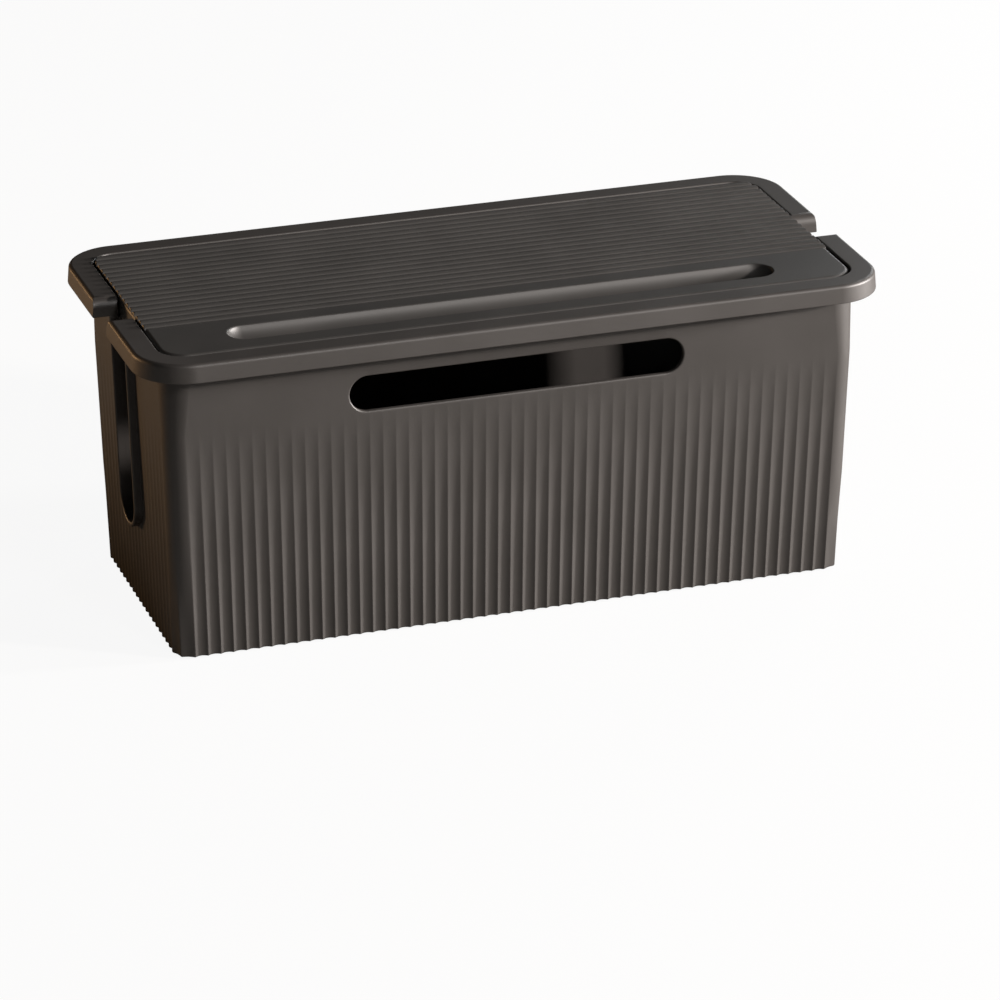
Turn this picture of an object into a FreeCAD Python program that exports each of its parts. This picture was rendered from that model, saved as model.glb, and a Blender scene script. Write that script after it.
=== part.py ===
import FreeCAD, Part
import math
import os
from collections import namedtuple

# Cable management box: an open moulded box with a fluted wall, a lift-off lid and four pads.
# The x axis runs along the box, y towards its back and z up from the surface it stands on.

# Overall sizes, in millimetres
BOX_LENGTH = 400.0
BOX_WIDTH = 183.0
BOX_HEIGHT = 168.0

# Rim: a flat top, a hanging outer edge that leans out a little, and an inner lip round the lid
RIM_CORNER = 28.0
RIM_DROP = 10.0
RIM_LEAN = 0.8
RIM_TOP_WIDTH = 12.8
RIM_EDGE_RADIUS = 2.0
RIM_INNER_BEVEL = 0.8
RIM_PLATE = 2.6
RIM_SKIRT_WALL = 2.2
LIP_WALL = 2.4

# Walls: inset from the rim's outer edge, at their top and at their base
SIDE_INSET_TOP = 13.5
SIDE_INSET_BASE = 18.0
END_INSET_TOP = 12.9
END_INSET_BASE = 16.8
BASE_CORNER = 10.0
WALL = 2.6
FLOOR = 3.0

# Flutes: shallow hollows side by side, deepest at the base and gone at the fade height
FLUTE_PITCH = 6.8
FLUTE_DEPTH = 1.3
FLUTE_FADE_HEIGHT = 124.0
CORNER_FADE_HEIGHT = 55.0

# Ledge that carries the lid
LID_DEPTH = 11.0
LEDGE = 2.5

# Long slot under the rim in the front wall
FRONT_SLOT_LENGTH = 180.0
FRONT_SLOT_HEIGHT = 19.4
FRONT_SLOT_DROP = 32.6
FRONT_SLOT_EDGE = 0.7

# Cable slots down both ends, open at the top through the rim, each inside a raised collar
END_SLOT_WIDTH = 27.5
END_SLOT_DEPTH = 119.0
NOTCH_MOUTH_RADIUS = 5.5
COLLAR_WALL = 2.4
COLLAR_PROUD = 4.0
COLLAR_BEVEL = 0.6

# Lid: a plate with a shallow skirt, resting inside the rim
LID_GAP = 0.9
LID_PLATE = 2.4
LID_WALL = 2.4
LID_EDGE_RADIUS = 2.2

# Ribs along the lid, behind its flat front margin, that run out over its ends
RIB_PITCH = 6.5
RIB_COUNT = 17
RIB_WIDTH = 5.2
RIB_HEIGHT = 1.2
RIB_ROOT = 1.5
RIB_END_INSET = 0.3
REAR_RIB_INSET = 5.45

# Groove along the lid's front, in which a phone stands
GROOVE_LENGTH = 294.0
GROOVE_WIDTH = 19.4
GROOVE_DEPTH = 7.0
GROOVE_INSET = 21.9

# Square anti-slip pads glued under the floor
FOOT_SIDE = 12.0
FOOT_THICKNESS = 1.0
FOOT_INSET = 14.0

# Extra length of every cutting tool, and the least corner radius and bow of an outline
OVERRUN = 4.0
LEAST_CORNER = 0.5
LEAST_BOW = 0.001

# Levels
BASE_Z = FOOT_THICKNESS
TOP_Z = BASE_Z + BOX_HEIGHT
RIM_FOOT_Z = TOP_Z - RIM_DROP
LEDGE_Z = TOP_Z - LID_DEPTH
LEDGE_FOOT_Z = LEDGE_Z - LEDGE
FADE_Z = BASE_Z + FLUTE_FADE_HEIGHT
MIDDLE_Z = (FADE_Z + LEDGE_Z) / 2
END_SLOT_Z = TOP_Z - END_SLOT_DEPTH
COLLAR_Z = END_SLOT_Z - COLLAR_WALL

Outline = namedtuple("Outline", "half_x half_y corner")
QUARTER = 90.0
SIDES = 4
UP = FreeCAD.Vector(0, 0, 1)
ALONG = FreeCAD.Vector(1, 0, 0)
ACROSS = FreeCAD.Vector(0, 1, 0)


def segment_radius(width, height):
    """Radius of the arc that is this wide and this high."""
    return (width * width / 4 + height * height) / (2 * height)


def inset(outline, distance):
    """The outline moved inwards all round."""
    corner = max(outline.corner - distance, LEAST_CORNER)
    return Outline(outline.half_x - distance, outline.half_y - distance, corner)


RIM = Outline(BOX_LENGTH / 2, BOX_WIDTH / 2, RIM_CORNER)
RIM_TOP = inset(RIM, RIM_LEAN)
SEAT = inset(RIM_TOP, RIM_TOP_WIDTH)
LIP = inset(SEAT, -LIP_WALL)
LID = inset(SEAT, LID_GAP)
RIBBED = inset(LID, RIB_END_INSET)
GROOVE_Y = -LID.half_y + GROOVE_INSET
GROOVE_RADIUS = segment_radius(GROOVE_WIDTH, GROOVE_DEPTH)
RIB_RADIUS = segment_radius(RIB_WIDTH, RIB_HEIGHT)
WALL_TOP = inset(RIM, SIDE_INSET_TOP)._replace(half_x=RIM.half_x - END_INSET_TOP)
WALL_BASE = Outline(RIM.half_x - END_INSET_BASE, RIM.half_y - SIDE_INSET_BASE, BASE_CORNER)


def wall_outline(z):
    """Outline of the drafted wall's outer face at a height; its corner grows above the flutes."""
    share = (z - BASE_Z) / (RIM_FOOT_Z - BASE_Z)
    half_x, half_y = [low + share * (high - low) for low, high in zip(WALL_BASE[:2], WALL_TOP[:2])]
    growth = max(0, (z - FADE_Z) / (RIM_FOOT_Z - FADE_Z))
    return Outline(half_x, half_y, BASE_CORNER + growth * (WALL_TOP.corner - BASE_CORNER))


def flute_depth(z, fade_height=FLUTE_FADE_HEIGHT):
    """Depth at a height of the flutes that are gone at the fade height."""
    return FLUTE_DEPTH * max(0, 1 - (z - BASE_Z) / fade_height)


def on_corner(outline, index, degrees, z):
    """Point on a rounded corner; the corners run anticlockwise from the front right one."""
    side_x = 1 if index in (0, 1) else -1
    side_y = 1 if index in (1, 2) else -1
    x = side_x * (outline.half_x - outline.corner) + outline.corner * math.cos(math.radians(degrees))
    y = side_y * (outline.half_y - outline.corner) + outline.corner * math.sin(math.radians(degrees))
    return FreeCAD.Vector(x, y, z)


def bowed_edge(start, middle, end):
    """Arc through three points, or a line where they lie in one."""
    bow = middle.distanceToLine(start, end - start)
    if bow < LEAST_BOW:
        return Part.makeLine(start, end)
    return Part.Arc(start, middle, end).toShape()


def plain_wire(outline, z):
    """Rounded rectangle as a closed wire."""
    edges = []
    for index in range(SIDES):
        first = (index - 1) * QUARTER
        side_start = on_corner(outline, (index - 1) % SIDES, first, z)
        side_end = on_corner(outline, index, first, z)
        corner_middle = on_corner(outline, index, first + QUARTER / 2, z)
        corner_end = on_corner(outline, index, first + QUARTER, z)
        edges.append(Part.makeLine(side_start, side_end))
        edges.append(Part.Arc(side_end, corner_middle, corner_end).toShape())
    return Part.Wire(edges)


def flutes_along(length):
    """How many flutes fit a stretch of the base's outline."""
    return max(1, round(length / FLUTE_PITCH))


def fluted_wire(z):
    """The wall's outline at a height, its edge a row of shallow hollows."""
    outline = wall_outline(z)
    depth, corner_depth = flute_depth(z), flute_depth(z, CORNER_FADE_HEIGHT)
    side_lengths = [2 * (WALL_BASE.half_x - BASE_CORNER), 2 * (WALL_BASE.half_y - BASE_CORNER)]
    corner_count = flutes_along(BASE_CORNER * math.pi / 2)
    edges = []
    for index in range(SIDES):
        first = (index - 1) * QUARTER
        outward = FreeCAD.Vector(math.cos(math.radians(first)), math.sin(math.radians(first)), 0)
        side_start = on_corner(outline, (index - 1) % SIDES, first, z)
        step = on_corner(outline, index, first, z) - side_start
        count = flutes_along(side_lengths[index % 2])
        for flute in range(count):
            start = side_start + step * (flute / count)
            end = side_start + step * ((flute + 1) / count)
            edges.append(bowed_edge(start, (start + end) * 0.5 - outward * depth, end))
        for flute in range(corner_count):
            angles = [first + QUARTER * (flute + part) / corner_count for part in (0, 0.5, 1)]
            start, middle, end = [on_corner(outline, index, angle, z) for angle in angles]
            turn = math.radians(angles[1])
            hollow = FreeCAD.Vector(math.cos(turn), math.sin(turn), 0) * corner_depth
            edges.append(bowed_edge(start, middle - hollow, end))
    return Part.Wire(edges)


def section_levels(low):
    """Heights at which a drafted wall has a section, from a low one up to where the flutes end."""
    return [low, COLLAR_Z, (COLLAR_Z + FADE_Z) / 2, FADE_Z]


def loft(wires):
    """Solid with straight lines between wires of as many edges each."""
    return Part.makeLoft(wires, True, True)


def prism(outline, low, high):
    """Upright rounded block."""
    return Part.Face(plain_wire(outline, low)).extrude(UP * (high - low))


def ring(outer, inner, low, high):
    """Upright rounded frame between two outlines."""
    return prism(outer, low, high).cut(prism(inner, low - OVERRUN, high + OVERRUN))


def slab(half_x, half_y, low, high, centre_x=0, centre_y=0):
    """Box about a centre, between two heights."""
    corner = FreeCAD.Vector(centre_x - half_x, centre_y - half_y, low)
    return Part.makeBox(2 * half_x, 2 * half_y, high - low, corner)


def edges_at(shape, z):
    """Edges that lie wholly at a height."""
    near = LEAST_BOW
    return [e for e in shape.Edges if abs(e.BoundBox.ZMin - z) < near and abs(e.BoundBox.ZMax - z) < near]


def capsule(half_length, radius, y, z):
    """Bar along x with ball ends, turned from the outline of its upper half."""
    def place(x, rise):
        return FreeCAD.Vector(x, y, z + rise)
    tip = half_length + radius
    corner = radius * math.sqrt(0.5)
    left = Part.Arc(place(-tip, 0), place(-half_length - corner, corner), place(-half_length, radius))
    right = Part.Arc(place(half_length, radius), place(half_length + corner, corner), place(tip, 0))
    long_side = Part.makeLine(place(-half_length, radius), place(half_length, radius))
    axis = Part.makeLine(place(tip, 0), place(-tip, 0))
    outline = Part.Wire([left.toShape(), long_side, right.toShape(), axis])
    return Part.Face(outline).revolve(place(0, 0), ALONG, 360)


# The box's body

def outer_wall():
    """Outside of the box below the ledge: fluted below, plain above the fade height."""
    fluted = loft([fluted_wire(z) for z in section_levels(BASE_Z)])
    plain = loft([plain_wire(wall_outline(z), z) for z in (FADE_Z, MIDDLE_Z, LEDGE_Z)])
    return fluted.fuse(plain)


def cavity():
    """Space inside the box, smooth walled, from the floor up past the ledge."""
    wires = []
    for z in section_levels(BASE_Z + FLOOR) + [MIDDLE_Z]:
        wires.append(plain_wire(inset(wall_outline(z), WALL + flute_depth(z)), z))
    top = LEDGE_Z + OVERRUN
    wires.append(plain_wire(inset(wall_outline(top), WALL), top))
    return loft(wires)


def rim():
    """Flat rim with its hanging edge, hollow below except beside the end notches."""
    block = loft([plain_wire(RIM, RIM_FOOT_Z), plain_wire(RIM_TOP, TOP_Z)])
    block = block.makeFillet(RIM_EDGE_RADIUS, edges_at(block, TOP_Z))
    channel = ring(inset(RIM, RIM_SKIRT_WALL), LIP, RIM_FOOT_Z - OVERRUN, TOP_Z - RIM_PLATE)
    cheeks = slab(RIM.half_x, END_SLOT_WIDTH / 2 + COLLAR_WALL, RIM_FOOT_Z - OVERRUN, TOP_Z)
    opening = prism(SEAT, RIM_FOOT_Z - OVERRUN, TOP_Z + OVERRUN)
    bevel_foot = plain_wire(SEAT, TOP_Z - RIM_INNER_BEVEL)
    bevel_top = plain_wire(inset(SEAT, -RIM_INNER_BEVEL - OVERRUN), TOP_Z + OVERRUN)
    bevel = loft([bevel_foot, bevel_top])
    return block.cut(channel.cut(cheeks)).cut([opening, bevel])


def ledge():
    """Step round the top of the walls: the lid rests on it, inside an upright lip."""
    inner = inset(wall_outline(LEDGE_Z), WALL)
    step = ring(LIP, inner, LEDGE_FOOT_Z, LEDGE_Z)
    lip = ring(LIP, SEAT, LEDGE_FOOT_Z, TOP_Z - RIM_PLATE / 2)
    return step.fuse(lip)


def u_wire(half_width, foot_z, top_z):
    """Closed upright outline across the box with a round foot."""
    turn_z = foot_z + half_width
    left, right = FreeCAD.Vector(0, -half_width, turn_z), FreeCAD.Vector(0, half_width, turn_z)
    left_top, right_top = FreeCAD.Vector(0, -half_width, top_z), FreeCAD.Vector(0, half_width, top_z)
    foot = Part.Arc(left, FreeCAD.Vector(0, 0, foot_z), right).toShape()
    rest = Part.makePolygon([right, right_top, left_top, left])
    return Part.Wire([foot] + rest.Edges)


def along_x(wire, low, high):
    """Block of a wire drawn across the box, from one x to another."""
    face = Part.Face(wire)
    face.translate(ALONG * low)
    return face.extrude(ALONG * (high - low))


def end_slot_tool():
    """What is cut from both ends: the slot, and the rounded mouth of its notch in the rim."""
    half = END_SLOT_WIDTH / 2
    reach = RIM.half_x + OVERRUN
    slot = along_x(u_wire(half, END_SLOT_Z, TOP_Z + OVERRUN), -reach, reach)
    shoulder_z = TOP_Z - NOTCH_MOUTH_RADIUS
    mouth = slab(reach, half + NOTCH_MOUTH_RADIUS, shoulder_z, TOP_Z)
    for side in (-1, 1):
        start = FreeCAD.Vector(-reach, side * (half + NOTCH_MOUTH_RADIUS), shoulder_z)
        mouth = mouth.cut(Part.makeCylinder(NOTCH_MOUTH_RADIUS, 2 * reach, start, ALONG))
    hole = inset(wall_outline(BASE_Z), WALL + FLUTE_DEPTH + OVERRUN)
    return slot.fuse(mouth).cut(slab(hole.half_x, hole.half_y, BASE_Z, TOP_Z + 2 * OVERRUN))


def collar(side):
    """Raised lip round an end slot, standing proud of the drafted wall."""
    half = END_SLOT_WIDTH / 2
    step_z = LEDGE_Z - LEDGE / 2
    profile = [
        (wall_outline(COLLAR_Z).half_x - WALL / 2 - flute_depth(COLLAR_Z), COLLAR_Z),
        (wall_outline(COLLAR_Z).half_x + COLLAR_PROUD, COLLAR_Z),
        (wall_outline(RIM_FOOT_Z).half_x + COLLAR_PROUD, RIM_FOOT_Z),
        (SEAT.half_x + LIP_WALL / 2, RIM_FOOT_Z),
        (SEAT.half_x + LIP_WALL / 2, step_z),
        (wall_outline(step_z).half_x - WALL / 2, step_z),
    ]
    points = [FreeCAD.Vector(side * x, -half - COLLAR_WALL, z) for x, z in profile]
    wedge = Part.Face(Part.makePolygon(points + points[:1])).extrude(ACROSS * (2 * (half + COLLAR_WALL)))
    reach = RIM.half_x + OVERRUN
    outside = along_x(u_wire(half + COLLAR_WALL, COLLAR_Z, RIM_FOOT_Z), -reach, reach)
    inside = along_x(u_wire(half, END_SLOT_Z, RIM_FOOT_Z + OVERRUN), -reach, reach)
    lip = wedge.common(outside).cut(inside)
    crest = [e for e in lip.Edges if crest_edge(e, side)]
    return lip.makeChamfer(COLLAR_BEVEL, crest)


def crest_edge(edge, side):
    """Whether an edge of a collar runs along its crest, below the rim."""
    if edge.BoundBox.ZMin > RIM_FOOT_Z - LEAST_BOW:
        return False
    for vertex in edge.Vertexes:
        crest_x = wall_outline(vertex.Z).half_x + COLLAR_PROUD
        if abs(side * vertex.X - crest_x) > LEAST_BOW:
            return False
    return True


def stadium(half_length, half_height, y):
    """Long upright outline with round ends, facing the front."""
    straight = half_length - half_height
    low_left, low_right = FreeCAD.Vector(-straight, y, -half_height), FreeCAD.Vector(straight, y, -half_height)
    top_left, top_right = FreeCAD.Vector(-straight, y, half_height), FreeCAD.Vector(straight, y, half_height)
    right_end = Part.Arc(low_right, FreeCAD.Vector(half_length, y, 0), top_right).toShape()
    left_end = Part.Arc(top_left, FreeCAD.Vector(-half_length, y, 0), low_left).toShape()
    return Part.Wire([Part.makeLine(low_left, low_right), right_end, Part.makeLine(top_right, top_left), left_end])


def front_slot_tool():
    """What is cut from the front wall: a long slot square to it, with a small outer bevel."""
    half_length, half_height = FRONT_SLOT_LENGTH / 2, FRONT_SLOT_HEIGHT / 2
    through = Part.Face(stadium(half_length, half_height, -OVERRUN)).extrude(ACROSS * (WALL + 2 * OVERRUN))
    wide = stadium(half_length + 2 * FRONT_SLOT_EDGE, half_height + 2 * FRONT_SLOT_EDGE, -FRONT_SLOT_EDGE)
    narrow = stadium(half_length, half_height, FRONT_SLOT_EDGE)
    tool = through.fuse(loft([wide, narrow]))
    centre_z = TOP_Z - FRONT_SLOT_DROP
    lean = (SIDE_INSET_BASE - SIDE_INSET_TOP) / (RIM_FOOT_Z - BASE_Z)
    tool.rotate(FreeCAD.Vector(0, 0, 0), ALONG, math.degrees(math.atan(lean)))
    tool.translate(FreeCAD.Vector(0, -wall_outline(centre_z).half_y, centre_z))
    return tool


def foot_places():
    """Where the pads stand, each with its name."""
    x, y = WALL_BASE.half_x - FOOT_INSET, WALL_BASE.half_y - FOOT_INSET
    ends = (("left", -x), ("right", x))
    rows = (("front", -y), ("rear", y))
    return {f"foot_{row}_{end}": (at_x, at_y) for row, at_y in rows for end, at_x in ends}


def box_body():
    """The whole moulding."""
    body = outer_wall().fuse([ledge(), rim(), collar(-1), collar(1)])
    return body.cut([cavity(), end_slot_tool(), front_slot_tool()])


# The lid

def ribs():
    """All the ribs, from the lid's rear edge forwards: round bars that end just inside its edge."""
    room = prism(RIBBED, TOP_Z - RIB_ROOT, TOP_Z + OVERRUN)
    bars = []
    for row in range(RIB_COUNT):
        y = LID.half_y - REAR_RIB_INSET - row * RIB_PITCH
        start = FreeCAD.Vector(-LID.half_x, y, TOP_Z + RIB_HEIGHT - RIB_RADIUS)
        bars.append(Part.makeCylinder(RIB_RADIUS, 2 * LID.half_x, start, ALONG).common(room))
    return bars


def groove_tool():
    """What is cut for the groove: a bar with ball ends, part of it above the lid."""
    straight = (GROOVE_LENGTH - GROOVE_WIDTH) / 2
    return capsule(straight, GROOVE_RADIUS, GROOVE_Y, TOP_Z - GROOVE_DEPTH + GROOVE_RADIUS)


def trough():
    """Round belly under the lid that leaves the plate's thickness below the groove."""
    half_length = GROOVE_LENGTH / 2 + LID_PLATE
    start = FreeCAD.Vector(-half_length, GROOVE_Y, TOP_Z - GROOVE_DEPTH + GROOVE_RADIUS)
    bar = Part.makeCylinder(GROOVE_RADIUS + LID_PLATE, 2 * half_length, start, ALONG)
    return bar.common(slab(LID.half_x, LID.half_y, LEDGE_Z, TOP_Z - LID_PLATE / 2))


def lid():
    """Lift-off cover: plate, skirt, ribs and the long groove with its trough below."""
    block = prism(LID, LEDGE_Z, TOP_Z)
    block = block.makeFillet(LID_EDGE_RADIUS, edges_at(block, TOP_Z))
    hollow = prism(inset(LID, LID_WALL), LEDGE_Z - OVERRUN, TOP_Z - LID_PLATE)
    return block.cut(hollow).fuse([trough()] + ribs()).cut(groove_tool())


# The pads

def foot(x, y):
    """Flat square pad."""
    return slab(FOOT_SIDE / 2, FOOT_SIDE / 2, 0, FOOT_THICKNESS, x, y)


def main():
    """Build every piece and write each to its own file."""
    os.makedirs("parts", exist_ok=True)
    pieces = {"box_body": box_body(), "lid": lid()}
    for name, (x, y) in foot_places().items():
        pieces[name] = foot(x, y)
    for name, shape in pieces.items():
        shape.exportStep(f"parts/{name}.step")
        print(name, "solids", len(shape.Solids), "valid", shape.isValid(), "volume", round(shape.Volume))


main()
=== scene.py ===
"""Dressed cable management box: its finely moulded tub and lid, its pads, finishes, floor, light and camera."""
import logging
import math
from dataclasses import dataclass, field
from enum import Enum
from typing import Any, Mapping, Sequence, Union

import bmesh
import bpy
import numpy as np
from mathutils import Matrix, Vector


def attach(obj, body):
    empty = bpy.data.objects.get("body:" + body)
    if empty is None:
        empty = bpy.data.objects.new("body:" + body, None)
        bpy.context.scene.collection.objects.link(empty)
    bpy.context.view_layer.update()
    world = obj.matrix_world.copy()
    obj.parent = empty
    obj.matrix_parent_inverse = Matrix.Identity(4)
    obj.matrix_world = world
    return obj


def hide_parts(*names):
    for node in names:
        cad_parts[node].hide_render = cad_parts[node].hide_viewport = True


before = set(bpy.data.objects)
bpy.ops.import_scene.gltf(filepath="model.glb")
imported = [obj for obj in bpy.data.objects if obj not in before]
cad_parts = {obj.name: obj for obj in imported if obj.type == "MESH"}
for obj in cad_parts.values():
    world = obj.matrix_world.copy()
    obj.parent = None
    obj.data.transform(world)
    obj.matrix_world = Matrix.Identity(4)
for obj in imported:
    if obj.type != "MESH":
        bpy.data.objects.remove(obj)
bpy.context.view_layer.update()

MM = 0.001
QUARTER = 90.0
SIDES = 4
HALF_TURN = 180.0
CORNER_STEPS = 16
EDGE_STEPS = 8
SMALL_EDGE_STEPS = 4
TINY_EDGE_STEPS = 3
TURN_STEPS = 24
MOUTH_STEPS = 12
OVERRUN = 4.0
LEAST_CORNER = 0.5
WELD_DISTANCE = 2e-7
WHITE = (1.0, 1.0, 1.0)

LOG = logging.getLogger("cable_box")

Ring = np.ndarray
Colour = tuple[float, float, float]


class End(Enum):
    """The two ends of the box, as signs along x."""

    LEFT = -1
    RIGHT = 1


class Row(Enum):
    """The front and rear of the box, as signs along y."""

    FRONT = -1
    REAR = 1


class Combine(Enum):
    """How one solid acts on another."""

    JOIN = "UNION"
    CUT = "DIFFERENCE"
    KEEP = "INTERSECT"


@dataclass(frozen=True)
class Outline:
    """Rounded rectangle about the box's upright middle line, in millimetres.

    Args:
        half_x: Half of its length.
        half_y: Half of its width.
        corner: Radius of its corners.
    """

    half_x: float
    half_y: float
    corner: float

    def inset(self, distance: float) -> "Outline":
        """The outline moved inwards all round."""
        corner = max(self.corner - distance, LEAST_CORNER)
        return Outline(self.half_x - distance, self.half_y - distance, corner)

    def toward(self, other: "Outline", share: float) -> "Outline":
        """Blend this outline with another one.

        Args:
            other: The outline at share 1.
            share: How far to go, 0 for this outline.

        Returns:
            The outline between them.
        """
        return Outline(
            self.half_x + share * (other.half_x - self.half_x),
            self.half_y + share * (other.half_y - self.half_y),
            self.corner + share * (other.corner - self.corner),
        )

    def corner_point(self, index: int, degrees: float) -> np.ndarray:
        """Find a point on a rounded corner.

        Args:
            index: The corner, anticlockwise from the front right one.
            degrees: Direction from the corner's centre.

        Returns:
            Its x and y.
        """
        side_x = 1 if index % SIDES in (0, 1) else -1
        side_y = 1 if index % SIDES in (1, 2) else -1
        turn = math.radians(degrees)
        return np.array(
            (
                side_x * (self.half_x - self.corner) + self.corner * math.cos(turn),
                side_y * (self.half_y - self.corner) + self.corner * math.sin(turn),
            )
        )

    def ring(self, z: float, centre: tuple[float, float] = (0.0, 0.0)) -> Ring:
        """Row of points round the outline.

        Args:
            z: Height of the row.
            centre: Where the outline's middle is.

        Returns:
            The points, anticlockwise from the front side's right end.
        """
        points = []
        for index in range(SIDES):
            for step in range(CORNER_STEPS + 1):
                x, y = self.corner_point(index, (index - 1 + step / CORNER_STEPS) * QUARTER)
                points.append((x + centre[0], y + centre[1], z))
        return np.array(points)


def rounding(radius: float, steps: int) -> list[tuple[float, float]]:
    """Quarter round as pairs of distances from the two faces that it joins.

    Args:
        radius: Radius of the quarter round.
        steps: Number of its straight pieces.

    Returns:
        Distances from the upright face and from the level face, from the level face on.
    """
    turns = [math.radians(QUARTER * step / steps) for step in range(steps + 1)]
    return [(radius * (1 - math.sin(turn)), radius * (1 - math.cos(turn))) for turn in turns]


class Solid:
    """A closed moulding in the making, which other solids are joined to and cut from."""

    def __init__(self, name: str, points: np.ndarray, faces: Sequence[Sequence[int]]) -> None:
        """Make the solid's object.

        Args:
            name: Name of the object.
            points: Its corners in millimetres.
            faces: Corner numbers of every face.
        """
        mesh = bpy.data.meshes.new(name)
        mesh.from_pydata((np.asarray(points) * MM).tolist(), [], [list(face) for face in faces])
        shape = bmesh.new()
        shape.from_mesh(mesh)
        bmesh.ops.recalc_face_normals(shape, faces=shape.faces)
        shape.to_mesh(mesh)
        shape.free()
        self.piece = bpy.data.objects.new(name, mesh)
        bpy.context.scene.collection.objects.link(self.piece)

    @classmethod
    def stacked(cls, name: str, rings: Sequence[Ring]) -> "Solid":
        """Skin a row of rings and close its two ends.

        Args:
            name: Name of the object.
            rings: Rings of as many points each, in order.

        Returns:
            The closed solid.
        """
        count = len(rings[0])
        faces: list[list[int]] = [list(range(count))[::-1]]
        for low in range(len(rings) - 1):
            for k in range(count):
                after = (k + 1) % count
                first, second = low * count, (low + 1) * count
                faces.append([first + k, first + after, second + after, second + k])
        faces.append([(len(rings) - 1) * count + k for k in range(count)])
        return cls(name, np.concatenate(rings), faces)

    @classmethod
    def block(cls, name: str, low: Sequence[float], high: Sequence[float]) -> "Solid":
        """Plain block, for use as a cutting tool only.

        Args:
            name: Name of the object.
            low: Its lowest corner.
            high: Its highest corner.

        Returns:
            The closed solid.
        """
        rings = []
        for z in (low[2], high[2]):
            corners = [(low[0], low[1]), (high[0], low[1]), (high[0], high[1]), (low[0], high[1])]
            rings.append(np.array([(x, y, z) for x, y in corners]))
        return cls.stacked(name, rings)

    def _combine(self, others: Sequence["Solid"], how: Combine) -> "Solid":
        """Join or cut with other solids, which are used up.

        Args:
            others: The other solids.
            how: Whether they are joined or cut.

        Returns:
            This solid.
        """
        for other in others:
            modifier = self.piece.modifiers.new(how.name, "BOOLEAN")
            modifier.operation = how.value
            modifier.solver = "EXACT"
            modifier.object = other.piece
            shaped = self.piece.evaluated_get(bpy.context.evaluated_depsgraph_get())
            mesh = bpy.data.meshes.new_from_object(shaped)
            self.piece.modifiers.clear()
            spent = [self.piece.data, other.piece.data]
            self.piece.data = mesh
            bpy.data.objects.remove(other.piece)
            for old in spent:
                bpy.data.meshes.remove(old)
        return self

    def join(self, *others: "Solid") -> "Solid":
        """Add other solids to this one."""
        return self._combine(others, Combine.JOIN)

    def cut(self, *tools: "Solid") -> "Solid":
        """Take tools away from this solid."""
        return self._combine(tools, Combine.CUT)

    def keep(self, room: "Solid") -> "Solid":
        """Keep only what lies inside another solid."""
        return self._combine([room], Combine.KEEP)

    def finish(
        self, body: str, node: str, slot: str, material: bpy.types.Material, crease: float = 32.0
    ) -> bpy.types.Object:
        """Smooth the solid, give it its finish and put it in the place of a node.

        Args:
            body: The body that it moves with.
            node: The node that it stands for.
            slot: Name of its material slot; not used.
            material: Its finish.
            crease: Angle in degrees above which an edge stays crisp.

        Returns:
            The finished piece.
        """
        mesh = self.piece.data
        shape = bmesh.new()
        shape.from_mesh(mesh)
        bmesh.ops.remove_doubles(shape, verts=shape.verts, dist=WELD_DISTANCE)
        for face in shape.faces:
            face.smooth = True
        for edge in shape.edges:
            edge.smooth = len(edge.link_faces) == 2 and edge.calc_face_angle(0.0) < math.radians(crease)
        shape.to_mesh(mesh)
        shape.free()
        even = self.piece.modifiers.new("even_shading", "WEIGHTED_NORMAL")
        even.keep_sharp = True
        mesh.materials.clear()
        mesh.materials.append(material)
        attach(self.piece, body)
        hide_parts(node)
        LOG.info("%s: %d faces", self.piece.name, len(mesh.polygons))
        return self.piece


@dataclass(frozen=True)
class Flutes:
    """Shallow hollows side by side with softly rounded crests between them, in millimetres."""

    pitch: float = 6.8
    depth: float = 1.3
    fade_height: float = 124.0
    corner_fade_height: float = 55.0
    crest_share: float = 0.07
    places: tuple[float, ...] = (0.0, 0.2, 0.4, 0.6, 0.8)

    def count_along(self, length: float) -> int:
        """How many flutes fit a length."""
        return max(1, round(length / self.pitch))

    def depth_at(self, height: float, corner: bool = False) -> float:
        """Depth of the hollows at a height above the box's base, on a side or on a corner."""
        return self.depth * max(0.0, 1 - height / (self.corner_fade_height if corner else self.fade_height))

    def profile(self) -> tuple[np.ndarray, np.ndarray]:
        """Work out one flute's cross-section.

        Returns:
            Where its points lie across the flute, from 0 to just under 1, and their shares of the depth.
        """
        edge = 1 - self.crest_share
        across = np.array([-1.0] + [-edge] + [-p for p in self.places[:0:-1]] + list(self.places) + [edge])
        away = np.abs(across)
        hollow = 1 - away**2
        crest = edge / self.crest_share * (1 - away) ** 2 + self.crest_share
        return (across + 1) / 2, np.where(away <= edge, hollow, crest)


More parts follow.
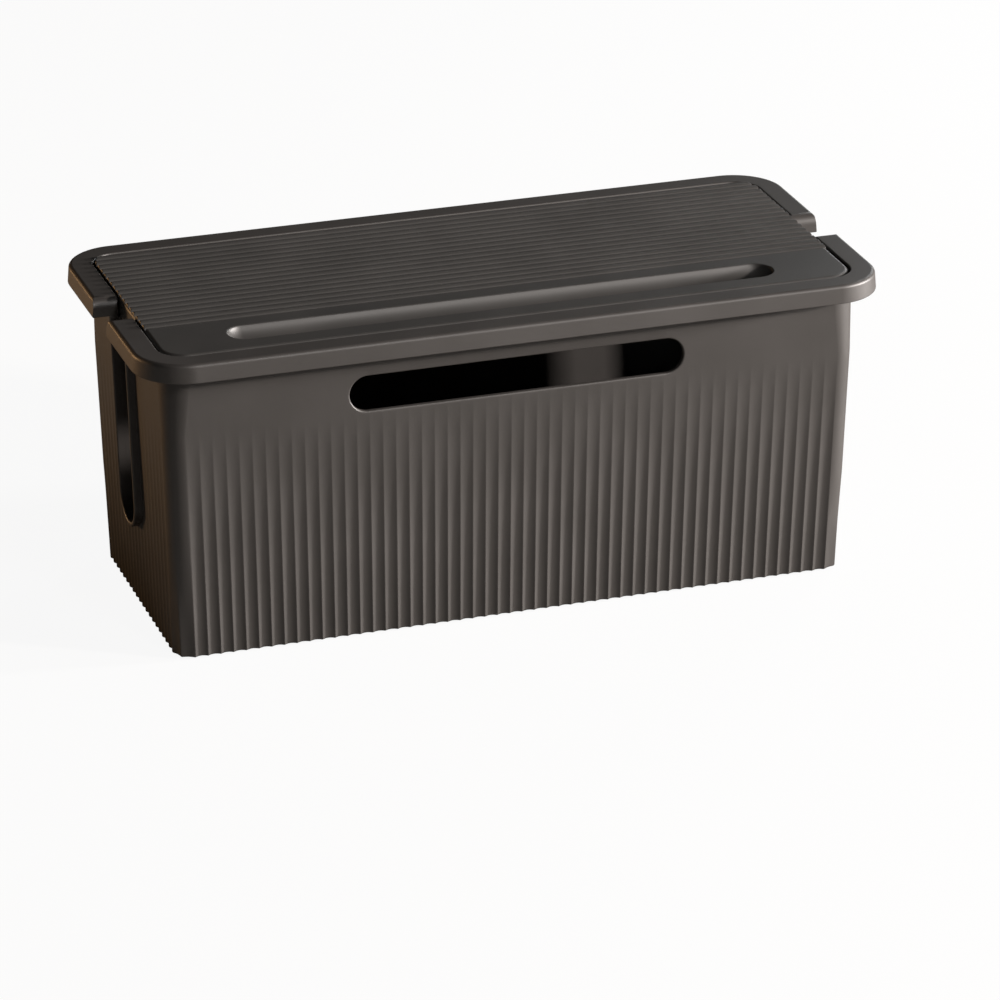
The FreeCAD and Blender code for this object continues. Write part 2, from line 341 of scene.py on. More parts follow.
@dataclass
class Tub:
    """The box's body: fluted walls, floor, hollow rim, ledge, end slots with collars and the long front slot."""

    finish: "MouldedPlastic"
    length: float = 400.0
    width: float = 183.0
    height: float = 168.0
    base_z: float = 1.0
    base_round: float = 1.1
    base_corner: float = 10.0
    wall: float = 2.6
    floor: float = 3.0
    floor_round: float = 3.0
    side_inset_top: float = 13.5
    side_inset_base: float = 18.0
    end_inset_top: float = 12.9
    end_inset_base: float = 16.8
    rim_corner: float = 28.0
    rim_drop: float = 10.0
    rim_lean: float = 0.8
    rim_top_width: float = 12.8
    rim_round: float = 2.0
    rim_inner_round: float = 0.8
    rim_foot_round: float = 0.45
    rim_plate: float = 2.6
    skirt_wall: float = 2.2
    lip_wall: float = 2.4
    lid_depth: float = 11.0
    ledge: float = 2.5
    slot_length: float = 180.0
    slot_height: float = 19.4
    slot_drop: float = 32.6
    slot_round: float = 0.9
    slot_inner_round: float = 0.5
    end_slot_width: float = 27.5
    end_slot_depth: float = 119.0
    mouth_round: float = 5.5
    collar_wall: float = 2.4
    collar_proud: float = 4.0
    collar_round: float = 0.85
    collar_shy: float = 0.03
    level_shares: tuple[float, ...] = (0.11, 0.22, 0.33, 0.444, 0.56, 0.67, 0.78, 0.89, 0.95, 1.0)
    flutes: Flutes = field(default_factory=Flutes)

    def __post_init__(self) -> None:
        """Work out the levels and outlines that the parts of the tub share."""
        self.top_z = self.base_z + self.height
        self.rim_foot_z = self.top_z - self.rim_drop
        self.ledge_z = self.top_z - self.lid_depth
        self.fade_z = self.base_z + self.flutes.fade_height
        self.slot_foot_z = self.top_z - self.end_slot_depth
        self.rim = Outline(self.length / 2, self.width / 2, self.rim_corner)
        self.rim_top = self.rim.inset(self.rim_lean)
        self.seat = self.rim_top.inset(self.rim_top_width)
        self.lip = self.seat.inset(-self.lip_wall)
        top = self.rim.inset(self.side_inset_top)
        self.wall_top = Outline(self.rim.half_x - self.end_inset_top, top.half_y, top.corner)
        base = self.rim.inset(self.side_inset_base)
        self.wall_base = Outline(self.rim.half_x - self.end_inset_base, base.half_y, self.base_corner)

    def outline(self, z: float) -> Outline:
        """Outline of the leaning wall's outer face at a height; its corner grows above the flutes."""
        wall = self.wall_base.toward(self.wall_top, (z - self.base_z) / (self.rim_foot_z - self.base_z))
        growth = max(0.0, (z - self.fade_z) / (self.rim_foot_z - self.fade_z))
        corner = self.base_corner + growth * (self.wall_top.corner - self.base_corner)
        return Outline(wall.half_x, wall.half_y, corner)

    def flute_depth(self, z: float) -> float:
        """Depth of the flutes at a height."""
        return self.flutes.depth_at(z - self.base_z)

    def fluted_ring(self, z: float, inset: float = 0.0) -> Ring:
        """Row of points round the wall's outside.

        Args:
            z: Height of the row.
            inset: How far the row lies inside the wall's face.

        Returns:
            The points, anticlockwise from the front side's left end.
        """
        outline = self.outline(z).inset(inset)
        across, hollow = self.flutes.profile()
        depth = self.flute_depth(z)
        corner_depth = self.flutes.depth_at(z - self.base_z, corner=True)
        flat = self.wall_base.half_x - self.base_corner, self.wall_base.half_y - self.base_corner
        turn_count = self.flutes.count_along(self.base_corner * math.pi / 2)
        rows = []
        for index in range(SIDES):
            first = (index - 1) * QUARTER
            start, end = outline.corner_point(index - 1, first), outline.corner_point(index, first)
            count = self.flutes.count_along(2 * flat[index % 2])
            shares = (np.arange(count)[:, None] + across).reshape(-1, 1) / count
            turn = math.radians(first)
            inward = -np.array((math.cos(turn), math.sin(turn)))
            rows.append(start + shares * (end - start) + np.tile(hollow, count)[:, None] * depth * inward)
            shares = (np.arange(turn_count)[:, None] + across).reshape(-1) / turn_count
            turns = np.radians(first + QUARTER * shares)
            centre = outline.corner_point(index, first) - outline.corner * -inward
            reach = outline.corner - np.tile(hollow, turn_count) * corner_depth
            rows.append(centre + np.stack((np.cos(turns), np.sin(turns)), 1) * reach[:, None])
        flat_points = np.concatenate(rows)
        return np.column_stack((flat_points, np.full(len(flat_points), z)))

    def walls(self) -> Solid:
        """The fluted block that the cavity is cut from."""
        foot = rounding(self.base_round, SMALL_EDGE_STEPS)
        rings = [self.fluted_ring(self.base_z + up, inward) for inward, up in foot]
        for share in self.level_shares:
            rings.append(self.fluted_ring(self.base_z + share * self.flutes.fade_height))
        rings.append(self.fluted_ring((self.fade_z + self.ledge_z) / 2))
        rings.append(self.fluted_ring(self.ledge_z))
        return Solid.stacked("tub", rings)

    def cavity(self) -> Solid:
        """The space inside, with the lid's seat above it and the rim's rounded inner edge."""
        floor_z = self.base_z + self.floor
        rings = []
        for inward, up in rounding(self.floor_round, 6):
            z = floor_z + up
            rings.append(self.outline(z).inset(self.wall + self.flute_depth(z) + inward).ring(z))
        for z in (self.slot_foot_z, (self.slot_foot_z + self.fade_z) / 2, self.fade_z, self.ledge_z):
            rings.append(self.outline(z).inset(self.wall + self.flute_depth(z)).ring(z))
        rings.append(self.seat.ring(self.ledge_z))
        for outward, down in rounding(self.rim_inner_round, SMALL_EDGE_STEPS)[::-1]:
            rings.append(self.seat.inset(-outward).ring(self.top_z - down))
        rings.append(self.seat.inset(-self.rim_inner_round).ring(self.top_z + OVERRUN))
        return Solid.stacked("cavity", rings)

    def rim_block(self) -> Solid:
        """The rim with its rounded edges, hollow below except beside the end slots."""
        rings = []
        for inward, up in rounding(self.rim_foot_round, TINY_EDGE_STEPS):
            rings.append(self.rim.inset(inward).ring(self.rim_foot_z + up))
        for inward, down in rounding(self.rim_round, EDGE_STEPS)[::-1]:
            lean = self.rim_lean * (1 - down / self.rim_drop)
            rings.append(self.rim.inset(lean + inward).ring(self.top_z - down))
        block = Solid.stacked("rim", rings)
        channel_top, channel_foot = self.top_z - self.rim_plate, self.rim_foot_z - OVERRUN
        outer = self.rim.inset(self.skirt_wall)
        channel = Solid.stacked("channel", [outer.ring(channel_foot), outer.ring(channel_top)])
        core = Solid.stacked("core", [self.lip.ring(channel_foot - OVERRUN), self.lip.ring(self.top_z)])
        cheek = self.end_slot_width / 2 + self.collar_wall
        reach = self.rim.half_x + OVERRUN
        cheeks = Solid.block("cheeks", (-reach, -cheek, channel_foot - OVERRUN), (reach, cheek, self.top_z))
        return block.cut(channel.cut(core, cheeks))

    def ledge_block(self) -> Solid:
        """The thickened top of the walls that carries the lid and its upright lip."""
        levels = self.ledge_z - self.ledge, self.top_z - self.rim_plate / 2
        return Solid.stacked("ledge", [self.lip.ring(z) for z in levels])

    def collar(self, end: End) -> Solid:
        """Raised lip round an end slot, with a rounded crest.

        Args:
            end: The end of the box that it is on.

        Returns:
            The collar, rooted in the wall and in the rim.
        """
        half = self.end_slot_width / 2
        turn_z = self.slot_foot_z + half
        levels = self.rim_foot_z + self.ledge, self.rim_foot_z - OVERRUN, self.fade_z
        stations = [((-half, z), (-1.0, 0.0)) for z in levels]
        for step in range(2 * TURN_STEPS + 1):
            turn = math.radians(HALF_TURN + QUARTER * step / TURN_STEPS)
            away = (math.cos(turn), math.sin(turn))
            stations.append(((half * away[0], turn_z + half * away[1]), away))
        stations += [((half, z), (1.0, 0.0)) for z in levels[::-1]]
        crest_edge = rounding(self.collar_round, SMALL_EDGE_STEPS)[::-1]
        crest = [(self.collar_shy + w, self.collar_proud - d) for w, d in crest_edge]
        crest += [(self.collar_wall + self.collar_shy - w, h) for w, h in crest[::-1]]
        rings = []
        for (y, z), away in stations:
            ring = []
            for across, proud in crest:
                at_y, at_z = y + away[0] * across, z + away[1] * across
                ring.append((end.value * (self.outline(at_z).half_x + proud), at_y, at_z))
            for across in (self.collar_wall, self.collar_shy):
                at_y, at_z = y + away[0] * across, z + away[1] * across
                root = self.outline(at_z).half_x - self.wall / 2 - self.flute_depth(at_z)
                ring.append((end.value * root, at_y, at_z))
            rings.append(np.array(ring))
        return Solid.stacked("collar", rings)

    def end_tool(self, end: End) -> Solid:
        """What is cut from an end: the U-shaped slot and the rounded mouth of its notch in the rim."""
        half, radius = self.end_slot_width / 2, self.mouth_round
        outer = half + radius
        shoulder_z, turn_z = self.top_z - radius, self.slot_foot_z + half
        side = [(outer, self.top_z + OVERRUN)]
        for step in range(MOUTH_STEPS + 1):
            turn = math.radians(QUARTER + QUARTER * step / MOUTH_STEPS)
            side.append((outer + radius * math.cos(turn), shoulder_z + radius * math.sin(turn)))
        for step in range(TURN_STEPS):
            turn = math.radians(-QUARTER * step / TURN_STEPS)
            side.append((half * math.cos(turn), turn_z + half * math.sin(turn)))
        profile = side + [(0.0, self.slot_foot_z)] + [(-y, z) for y, z in side[::-1]]
        inner = self.wall_base.half_x - self.wall - self.flutes.depth - OVERRUN
        rings = []
        for x in (inner, self.rim.half_x + OVERRUN):
            rings.append(np.array([(end.value * x, y, z) for y, z in profile]))
        return Solid.stacked("end_slot", rings)

    def front_tool(self) -> Solid:
        """What is cut from the front wall: a long slot square to it, with rounded edges."""
        centre_z = self.top_z - self.slot_drop
        lean = math.atan((self.side_inset_base - self.side_inset_top) / (self.rim_foot_z - self.base_z))
        stations = [(-OVERRUN, self.slot_round)]
        stations += [(depth, grown) for grown, depth in rounding(self.slot_round, 6)]
        inner = rounding(self.slot_inner_round, SMALL_EDGE_STEPS)[::-1]
        stations += [(self.wall - depth, grown) for grown, depth in inner]
        stations.append((self.wall + OVERRUN, self.slot_inner_round))
        turned = Matrix.Translation((0.0, -self.outline(centre_z).half_y, centre_z)) @ Matrix.Rotation(lean, 4, "X")
        rings = []
        for depth, grown in stations:
            radius = self.slot_height / 2 + grown
            straight = (self.slot_length - self.slot_height) / 2
            ring = []
            for side in (1, -1):
                for step in range(TURN_STEPS + 1):
                    turn = math.radians(-QUARTER + HALF_TURN * step / TURN_STEPS)
                    x = side * (straight + radius * math.cos(turn))
                    ring.append(tuple(turned @ Vector((x, depth, side * radius * math.sin(turn)))))
            rings.append(np.array(ring))
        return Solid.stacked("front_slot", rings)

    def build(self) -> bpy.types.Object:
        """Mould the tub and put it in the place of the node box_body."""
        tub = self.walls().join(self.ledge_block(), self.rim_block(), self.collar(End.LEFT), self.collar(End.RIGHT))
        tub.cut(self.cavity(), self.end_tool(End.LEFT), self.end_tool(End.RIGHT), self.front_tool())
        return tub.finish("tub", "box_body", "body_plastic", self.finish.material("body_plastic_finish"))


@dataclass
class Lid:
    """The lift-off lid: a ribbed plate with a shallow skirt and a long groove for a phone."""

    finish: "MouldedPlastic"
    seat: Outline
    top_z: float
    foot_z: float
    gap: float = 0.9
    plate: float = 2.4
    wall: float = 2.4
    edge_round: float = 2.2
    foot_round: float = 0.4
    inner_round: float = 1.2
    rib_pitch: float = 6.5
    rib_count: int = 17
    rib_width: float = 5.2
    rib_height: float = 1.2
    rib_root: float = 1.5
    rib_apart: float = 0.1
    rib_end_inset: float = 0.3
    rib_end_round: float = 1.2
    rib_end_over: float = 0.2
    rear_rib_inset: float = 5.45
    groove_length: float = 294.0
    groove_width: float = 19.4
    groove_depth: float = 7.0
    groove_inset: float = 21.9
    groove_round: float = 1.1
    rib_steps: int = 26
    groove_steps: int = 16
    lip_steps: int = 6

    def __post_init__(self) -> None:
        """Work out the outlines and radii that the parts of the lid share."""
        self.outline = self.seat.inset(self.gap)
        self.ribbed = self.outline.inset(self.rib_end_inset)
        self.groove_y = -self.outline.half_y + self.groove_inset
        width, depth = self.groove_width, self.groove_depth
        self.groove_radius = (width * width / 4 + depth * depth) / (2 * depth)

    def shell(self) -> Solid:
        """The plate and its skirt, with all their edges rounded."""
        foot, edge = rounding(self.foot_round, TINY_EDGE_STEPS), rounding(self.edge_round, EDGE_STEPS)[::-1]
        rings = [self.outline.inset(inward).ring(self.foot_z + up) for inward, up in foot]
        rings += [self.outline.inset(inward).ring(self.top_z - down) for inward, down in edge]
        inside = self.outline.inset(self.wall)
        hollow = [inside.ring(self.foot_z - OVERRUN)]
        ceiling = self.top_z - self.plate
        hollow += [inside.inset(inward).ring(ceiling - down) for inward, down in rounding(self.inner_round, 5)[::-1]]
        return Solid.stacked("lid_cover", rings).cut(Solid.stacked("hollow", hollow))

    def rib_bars(self) -> Solid:
        """Round bars along the whole lid, one for each rib, from its rear edge forwards."""
        radius = (self.rib_width**2 / 4 + self.rib_height**2) / (2 * self.rib_height)
        axis_z = self.top_z + self.rib_height - radius
        side = self.rib_pitch / 2 - self.rib_apart / 2
        half_turn = math.asin(side / radius)
        low_z = self.top_z - 2 * self.rib_root
        points: list[np.ndarray] = []
        faces: list[list[int]] = []
        for row in range(self.rib_count):
            y = self.outline.half_y - self.rear_rib_inset - row * self.rib_pitch
            profile = [(y - side, low_z), (y + side, low_z)]
            for turn in np.linspace(half_turn, -half_turn, self.rib_steps + 1):
                profile.append((y + radius * math.sin(turn), axis_z + radius * math.cos(turn)))
            first = sum(len(part) for part in points)
            for x in (-self.outline.half_x, self.outline.half_x):
                points.append(np.array([(x, at_y, at_z) for at_y, at_z in profile]))
            count = len(profile)
            faces += [[first + k for k in range(count)], [first + count + k for k in range(count)][::-1]]
            for k in range(count):
                after = (k + 1) % count
                faces.append([first + after, first + k, first + count + k, first + count + after])
        return Solid("ribs", np.concatenate(points), faces)

    def rib_room(self) -> Solid:
        """Space that the ribs are kept to, with a rounded upper edge that rounds their ends."""
        ceiling = self.top_z + self.rib_height + self.rib_end_over
        rings = [self.ribbed.ring(self.top_z - self.rib_root)]
        edge = rounding(self.rib_end_round, self.lip_steps)[::-1]
        rings += [self.ribbed.inset(inward).ring(ceiling - down) for inward, down in edge]
        return Solid.stacked("room", rings)

    def stadium(self, radius: float, z: float) -> Ring:
        """Long ring with round ends about the groove's middle line."""
        straight = (self.groove_length - self.groove_width) / 2
        ring = []
        for side in (1, -1):
            for step in range(TURN_STEPS + 1):
                turn = math.radians(-QUARTER + HALF_TURN * step / TURN_STEPS)
                x = side * (straight + radius * math.cos(turn))
                ring.append((x, self.groove_y + side * radius * math.sin(turn), z))
        return np.array(ring)

    def groove_tool(self) -> Solid:
        """What is cut for the groove: a round-bottomed trough with ball ends and a rounded lip."""
        lip, radius = self.groove_round, self.groove_radius
        axis_z = self.top_z - self.groove_depth + radius
        drop = axis_z - (self.top_z - lip)
        lip_reach = math.sqrt((radius + lip) ** 2 - drop**2)
        meet = math.asin(drop / (radius + lip))
        rings = []
        for step in range(1, self.groove_steps + 1):
            turn = (math.pi / 2 - meet) * step / self.groove_steps
            rings.append(self.stadium(radius * math.sin(turn), axis_z - radius * math.cos(turn)))
        for step in range(1, self.lip_steps + 1):
            turn = math.pi - meet - (math.pi / 2 - meet) * step / self.lip_steps
            rings.append(self.stadium(lip_reach + lip * math.cos(turn), self.top_z - lip + lip * math.sin(turn)))
        rings.append(self.stadium(lip_reach, self.top_z + OVERRUN))
        return Solid.stacked("groove", rings)

    def trough(self) -> Solid:
        """Round belly under the plate that leaves its thickness below the groove."""
        radius = self.groove_radius + self.plate
        axis_z = self.top_z - self.groove_depth + self.groove_radius
        top = self.top_z - self.plate / 2
        side = math.acos((axis_z - top) / radius)
        profile = []
        for step in range(TURN_STEPS + 1):
            turn = -side + 2 * side * step / TURN_STEPS
            profile.append((self.groove_y + radius * math.sin(turn), axis_z - radius * math.cos(turn)))
        half = self.groove_length / 2 + self.plate
        return Solid.stacked("trough", [np.array([(x, y, z) for y, z in profile]) for x in (-half, half)])

    def build(self) -> bpy.types.Object:
        """Mould the lid and put it in the place of the node lid."""
        cover = self.shell().join(self.trough(), self.rib_bars().keep(self.rib_room())).cut(self.groove_tool())
        return cover.finish("lid", "lid", "lid_plastic", self.finish.material("lid_plastic_finish"))


@dataclass
class Pads:
    """The four square pads glued under the floor."""

    finish: "PadRubber"
    places: Outline
    side: float = 12.0
    thickness: float = 1.0
    inset: float = 14.0
    corner: float = 1.2
    edge_round: float = 0.25

    def build(self) -> list[bpy.types.Object]:
        """Mould each pad and put it in the place of its node."""
        material = self.finish.material("pad_rubber_finish")
        shape = Outline(self.side / 2, self.side / 2, self.corner)
        pads = []
        for row in Row:
            for end in End:
                x, y = self.places.half_x - self.inset, self.places.half_y - self.inset
                centre = end.value * x, row.value * y
                edge = rounding(self.edge_round, TINY_EDGE_STEPS)
                rings = [shape.inset(inward).ring(up, centre) for inward, up in edge]
                rings.append(shape.ring(self.thickness, centre))
                name = f"{row.name.lower()}_{end.name.lower()}"
                pad = Solid.stacked(f"pad_{name}", rings)
                pads.append(pad.finish("tub", f"foot_{name}", "foot_rubber", material))
        return pads


class Value:
    """A number socket that takes part in sums like a plain number."""

    def __init__(self, graph: "Graph", socket: bpy.types.NodeSocket) -> None:
        """Wrap an output socket of a graph."""
        self.graph = graph
        self.socket = socket

    def _sum(self, operation: str, first: "Term", second: "Term") -> "Value":
        """Add one Math node.

        Args:
            operation: What the node works out.
            first: Its first value.
            second: Its second value.

        Returns:
            The node's result.
        """
        node = self.graph.node("ShaderNodeMath", {"operation": operation}, {0: first, 1: second})
        return Value(self.graph, node.outputs[0])

    def __add__(self, other: "Term") -> "Value":
        """This value plus another."""
        return self._sum("ADD", self, other)

    def __radd__(self, other: "Term") -> "Value":
        """Another value plus this."""
        return self._sum("ADD", other, self)

    def __sub__(self, other: "Term") -> "Value":
        """This value less another."""
        return self._sum("SUBTRACT", self, other)

    def __rsub__(self, other: "Term") -> "Value":
        """Another value less this."""
        return self._sum("SUBTRACT", other, self)

    def __mul__(self, other: "Term") -> "Value":
        """This value times another."""
        return self._sum("MULTIPLY", self, other)

    def above(self, low: float, high: float) -> "Value":
        """Ease from 0 at a low value to 1 at a high one."""
        inputs = {"Value": self, "From Min": low, "From Max": high}
        node = self.graph.node("ShaderNodeMapRange", {"interpolation_type": "SMOOTHSTEP"}, inputs)
        return Value(self.graph, node.outputs["Result"])


Term = Union[Value, bpy.types.NodeSocket, float]


class Graph:
    """The node tree of a material or of the world."""

    def __init__(self, tree: bpy.types.NodeTree) -> None:
        """Take over a node tree and empty it."""
        self.tree = tree
        tree.nodes.clear()

    def node(
        self,
        kind: str,
        settings: Mapping[str, Any] | None = None,
        inputs: Mapping[Union[str, int], Any] | None = None,
    ) -> bpy.types.Node:
        """Add a node.

        Args:
            kind: The node's type.
            settings: Its own settings, set before its sockets.
            inputs: Values or links of its sockets, by name or number.

        Returns:
            The new node.
        """
        node = self.tree.nodes.new(kind)
        for name, setting in (settings or {}).items():
            setattr(node, name, setting)
        for key, given in (inputs or {}).items():
            socket = given.socket if isinstance(given, Value) else given
            if isinstance(socket, bpy.types.NodeSocket):
                self.tree.links.new(socket, node.inputs[key])
            else:
                node.inputs[key].default_value = socket
        return node

    def place(self) -> bpy.types.NodeSocket:
        """Where a point lies on the piece, in metres."""
        return self.node("ShaderNodeTexCoord").outputs["Object"]

    def noise(self, place: bpy.types.NodeSocket, size: float, detail: float = 2.0, roughness: float = 0.5) -> Value:
        """Soft uneven pattern.

        Args:
            place: Where the pattern is read.
            size: Size of its patches in millimetres.
            detail: How many finer layers it has.
            roughness: How strong the finer layers are.

        Returns:
            Values about 0.5.
        """
        inputs = {"Vector": place, "Scale": 1 / (size * MM), "Detail": detail, "Roughness": roughness}
        return Value(self, self.node("ShaderNodeTexNoise", None, inputs).outputs["Fac"])

    def mix(self, share: Term, first: Any, second: Any) -> bpy.types.NodeSocket:
        """Blend two colours.

        Args:
            share: How much of the second colour shows.
            first: A colour or its socket.
            second: A colour or its socket.

        Returns:
            The blended colour's socket.
        """
        node = self.node("ShaderNodeMix", {"data_type": "RGBA"}, {0: share, 6: first, 7: second})
        return node.outputs[2]


def opaque(colour: Colour) -> tuple[float, float, float, float]:
    """A colour with full cover."""
    return (*colour, 1.0)


@dataclass(frozen=True)
class MouldedPlastic:
    """Matt moulded plastic: etched grain, faint clouding, soft edges that are a little polished and painted lighter,
    partly as wear and partly as a painted highlight, and fine dust.
    """

    colour: Colour
    cloud_colour: Colour
    # Colour of the lighter convex edges: partly rubbed wear, partly a painted highlight.
    worn_and_highlight_colour: Colour
    dust_colour: Colour = (0.26, 0.25, 0.235)
    roughness: float = 0.48
    grain_size: float = 0.55
    grain_height: float = 0.012
    edge: float = 0.45
    specular: float = 1.0

    def material(self, name: str) -> bpy.types.Material:
        """Make the finish.

        Args:
            name: Name of the material.

        Returns:
            The material.
        """
        material = bpy.data.materials.new(name)
        material.use_nodes = True
        graph = Graph(material.node_tree)
        place = graph.place()
        clouds = graph.noise(place, 38.0, 3.0)
        grain = graph.noise(place, self.grain_size, 1.0)
        pits = graph.noise(place, 2.4 * self.grain_size, 1.0)
        speckle = graph.noise(place, 1.1, 2.0, 0.7)
        looks_in = {"samples": 6, "inside": True, "only_local": True}
        inside = graph.node("ShaderNodeAmbientOcclusion", looks_in, {"Distance": 2 * self.edge * MM})
        # Convex edges found by inward ambient occlusion are painted lighter: partly rubbed wear, partly a painted
        # highlight along the edges.
        worn_highlit_edges = (1 - Value(graph, inside.outputs["AO"])).above(0.25, 0.75) * clouds.above(0.3, 0.7)
        up = graph.node("ShaderNodeSeparateXYZ", None, {0: graph.node("ShaderNodeNewGeometry").outputs["Normal"]})
        dust = Value(graph, up.outputs["Z"]).above(0.7, 1.0) * speckle.above(0.58, 0.8)
        colour = graph.mix(clouds.above(0.3, 0.75), opaque(self.colour), opaque(self.cloud_colour))
        # Lighter edges: rubbed wear and painted highlight.
        colour = graph.mix(worn_highlit_edges * 0.5, colour, opaque(self.worn_and_highlight_colour))
        colour = graph.mix(dust * 0.05, colour, opaque(self.dust_colour))
        roughness = self.roughness + (clouds - 0.5) * 0.12 + (grain - 0.5) * 0.1 - worn_highlit_edges * 0.06 + dust * 0.05
        soft = graph.node("ShaderNodeBevel", {"samples": 4}, {"Radius": self.edge * MM})
        bump = graph.node(
            "ShaderNodeBump",
            None,
            {
                "Strength": 1.0,
                "Distance": self.grain_height * MM,
                "Height": grain * 0.65 + pits * 0.35,
                "Normal": soft.outputs["Normal"],
            },
        )
        shader = graph.node(
            "ShaderNodeBsdfPrincipled",
            None,
            {
                "Base Color": colour,
                "Roughness": roughness,
                "Specular IOR Level": self.specular,
                "Normal": bump.outputs["Normal"],
            },
        )
        graph.node("ShaderNodeOutputMaterial", None, {"Surface": shader.outputs[0]})
        return material


@dataclass(frozen=True)
class PadRubber:
    """Black soft rubber with a fine dull grain and a little dust pressed in."""

    colour: Colour = (0.026, 0.026, 0.027)
    dust_colour: Colour = (0.075, 0.072, 0.068)
    roughness: float = 0.78
    grain_size: float = 0.35
    grain_height: float = 0.02

    def material(self, name: str) -> bpy.types.Material:
        """Make the finish.

        Args:
            name: Name of the material.

        Returns:
            The material.
        """
        material = bpy.data.materials.new(name)
        material.use_nodes = True
        graph = Graph(material.node_tree)
        place = graph.place()
        grain = graph.noise(place, self.grain_size, 2.0)
        patches = graph.noise(place, 3.5, 3.0)
        colour = graph.mix(patches.above(0.45, 0.75) * 0.6, opaque(self.colour), opaque(self.dust_colour))
        bump = graph.node("ShaderNodeBump", None, {"Distance": self.grain_height * MM, "Height": grain})
        roughness = self.roughness + (patches - 0.5) * 0.15
        inputs = {"Base Color": colour, "Roughness": roughness, "Normal": bump.outputs["Normal"]}
        shader = graph.node("ShaderNodeBsdfPrincipled", None, inputs)
        graph.node("ShaderNodeOutputMaterial", None, {"Surface": shader.outputs[0]})
        return material


@dataclass(frozen=True)
class PaleFloor:
    """Plain pale floor, shown nearly white to the camera, with a very faint shadow of the object.

    Args:
        colour: Its colour for the light that it throws on the object.
        shown_colour: Its colour for camera and transmission rays.
        shown_white: Share of plain white in what those rays see.
        roughness: How dull it is.
    """

    colour: Colour = (0.26, 0.255, 0.245)
    shown_colour: Colour = (0.95, 0.95, 0.95)
    shown_white: float = 0.92
    roughness: float = 0.9

    def material(self, name: str) -> bpy.types.Material:
        """Make the finish.

        Args:
            name: Name of the material.

        Returns:
            The material.
        """
        material = bpy.data.materials.new(name)
        material.use_nodes = True
        graph = Graph(material.node_tree)
        rays = graph.node("ShaderNodeLightPath").outputs
        seen = Value(graph, rays["Is Camera Ray"]) + Value(graph, rays["Is Transmission Ray"])
        colour = graph.mix(seen, opaque(self.colour), opaque(self.shown_colour))
        matt = graph.node("ShaderNodeBsdfPrincipled", None, {"Base Color": colour, "Roughness": self.roughness})
        white = graph.node("ShaderNodeEmission", None, {"Color": opaque(WHITE), "Strength": 1.0})
        mixed = graph.node(
            "ShaderNodeMixShader", None, {0: seen * self.shown_white, 1: matt.outputs[0], 2: white.outputs[0]}
        )
        graph.node("ShaderNodeOutputMaterial", None, {"Surface": mixed.outputs[0]})
        return material


@dataclass(frozen=True)
class Lamp:
    """A square lamp that faces the box, in metres and degrees.

    Args:
        name: Name of the lamp.
        azimuth: Direction from the box's front towards its right end.
        elevation: Height above the horizon.
        distance: How far it stands from the box.
        size: Length of its side.
        level: How brightly it lights a white face square to it, 1 for white.
        colour: Its colour.
    """

    name: str
    azimuth: float
    elevation: float
    distance: float
    size: float
    level: float
    colour: Colour

    def build(self, target: Vector) -> bpy.types.Object:
        """Hang the lamp so that it faces a point.

        Args:
            target: The point.

        Returns:
            The lamp.
        """
        turn, rise = math.radians(self.azimuth), math.radians(self.elevation)
        away = Vector((math.sin(turn) * math.cos(rise), -math.cos(turn) * math.cos(rise), math.sin(rise)))
        light = bpy.data.lights.new(self.name, "AREA")
        light.shape = "SQUARE"
        light.size = self.size
        light.color = self.colour
        light.energy = self.level * math.pi**2 * self.distance**2
        lamp = bpy.data.objects.new(self.name, light)
        lamp.location = target + away * self.distance
        lamp.rotation_mode = "QUATERNION"
        lamp.rotation_quaternion = away.to_track_quat("Z", "Y")
        bpy.context.scene.collection.objects.link(lamp)
        return lamp


@dataclass(frozen=True)
class Camera:
    """The camera, placed as the photograph was taken, in metres and radians."""

    place: tuple[float, float, float] = (-0.754, -2.305, 1.072)
    yaw: float = 0.3223
    pitch: float = 0.4039
    roll: float = 0.0021
    lens: float = 178.24
    clip_start: float = 0.05
    clip_end: float = 50.0

    def build(self) -> bpy.types.Object:
        """Put the camera in the scene and make it the one that is used."""
        ahead, across = math.cos(self.yaw) * math.cos(self.pitch), math.sin(self.yaw) * math.cos(self.pitch)
        forward = Vector((across, ahead, -math.sin(self.pitch)))
        level = forward.cross(Vector((0.0, 0.0, 1.0))).normalized()
        down = forward.cross(level)
        right = level * math.cos(self.roll) + down * math.sin(self.roll)
        below = down * math.cos(self.roll) - level * math.sin(self.roll)
        turned = Matrix((right, -below, -forward)).transposed().to_4x4()
        data = bpy.data.cameras.new("camera")
        data.lens = self.lens
        data.clip_start = self.clip_start
        data.clip_end = self.clip_end
        camera = bpy.data.objects.new("camera", data)
        camera.matrix_world = Matrix.Translation(self.place) @ turned
        bpy.context.scene.collection.objects.link(camera)
        bpy.context.scene.camera = camera
        return camera


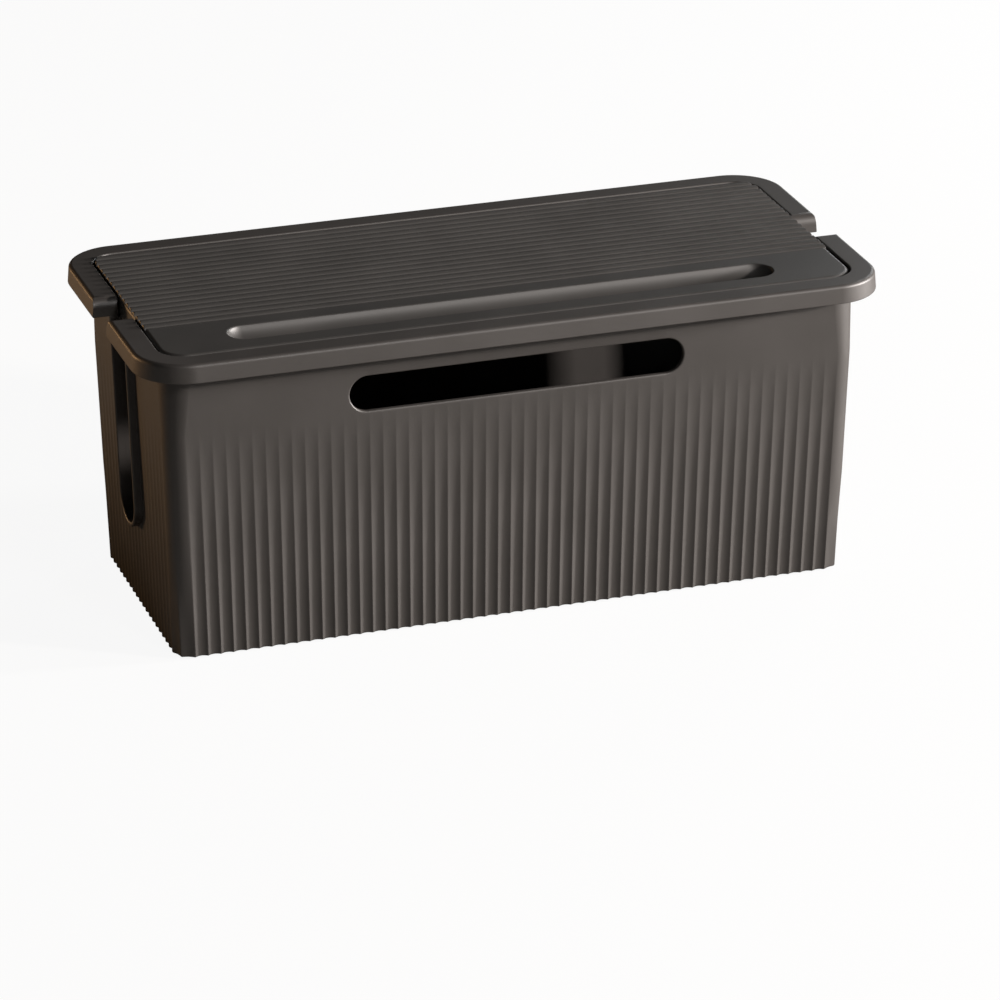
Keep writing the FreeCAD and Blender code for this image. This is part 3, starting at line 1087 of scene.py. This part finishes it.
@dataclass
class Studio:
    """Floor, lamps, surroundings and camera."""

    target: Vector = field(default_factory=lambda: Vector((0.0, 0.0, 0.09)))
    floor_half: float = 14.0
    surround: float = 0.015
    surround_colour: Colour = (0.96, 0.98, 1.0)
    lamps: tuple[Lamp, ...] = (
        Lamp("key", 55.0, 18.0, 3.0, 0.2, 1.0, (1.0, 0.92, 0.87)),
        Lamp("side", 79.0, 9.0, 3.0, 0.25, 1.4, (1.0, 0.95, 0.92)),
        Lamp("front_fill", 12.0, 34.0, 3.0, 0.4, 0.16, (1.0, 0.96, 0.93)),
        Lamp("warm_bounce", -134.0, 3.0, 2.4, 0.3, 0.24, (1.0, 0.58, 0.27)),
        Lamp("rear", 132.0, 24.0, 1.4, 0.35, 0.14, (0.93, 0.98, 1.0)),
    )

    def floor(self) -> bpy.types.Object:
        """Lay the floor that the box stands on."""
        half = self.floor_half
        corners = [(-half, -half, 0.0), (half, -half, 0.0), (half, half, 0.0), (-half, half, 0.0)]
        mesh = bpy.data.meshes.new("floor")
        mesh.from_pydata(corners, [], [tuple(range(SIDES))])
        mesh.materials.append(PaleFloor().material("pale_floor"))
        floor = bpy.data.objects.new("floor", mesh)
        bpy.context.scene.collection.objects.link(floor)
        return floor

    def surroundings(self) -> None:
        """Light the room evenly and faintly, and show it white to the camera."""
        world = bpy.data.worlds.new("surroundings")
        world.use_nodes = True
        graph = Graph(world.node_tree)
        room = graph.node("ShaderNodeBackground", None, {0: opaque(self.surround_colour), 1: self.surround})
        white = graph.node("ShaderNodeBackground", None, {0: opaque(WHITE), 1: 1.0})
        seen = graph.node("ShaderNodeLightPath").outputs["Is Camera Ray"]
        mixed = graph.node("ShaderNodeMixShader", None, {0: seen, 1: room.outputs[0], 2: white.outputs[0]})
        graph.node("ShaderNodeOutputWorld", None, {0: mixed.outputs[0]})
        bpy.context.scene.world = world

    def build(self) -> None:
        """Set the studio up."""
        self.floor()
        self.surroundings()
        for lamp in self.lamps:
            lamp.build(self.target)
        Camera().build()
        bpy.context.scene.view_settings.view_transform = "Standard"
        LOG.info("studio: %d lamps", len(self.lamps))


# The body's colour is a little lighter and redder than the lid's, though both are one plastic: painted light for its
# front-lit walls.
BODY_PLASTIC = MouldedPlastic(
    colour=(0.049, 0.0445, 0.041), cloud_colour=(0.054, 0.049, 0.0455), worn_and_highlight_colour=(0.085, 0.08, 0.073)
)
LID_PLASTIC = MouldedPlastic(
    colour=(0.045, 0.043, 0.0405), cloud_colour=(0.05, 0.0475, 0.0445), worn_and_highlight_colour=(0.082, 0.078, 0.072)
)


def main() -> None:
    """Build every piece in order and report it."""
    logging.basicConfig(level=logging.INFO, format="%(message)s")
    Studio().build()
    tub = Tub(finish=BODY_PLASTIC)
    tub.build()
    Lid(finish=LID_PLASTIC, seat=tub.seat, top_z=tub.top_z, foot_z=tub.ledge_z).build()
    Pads(finish=PadRubber(), places=tub.wall_base).build()


if __name__ == "__main__":
    main()
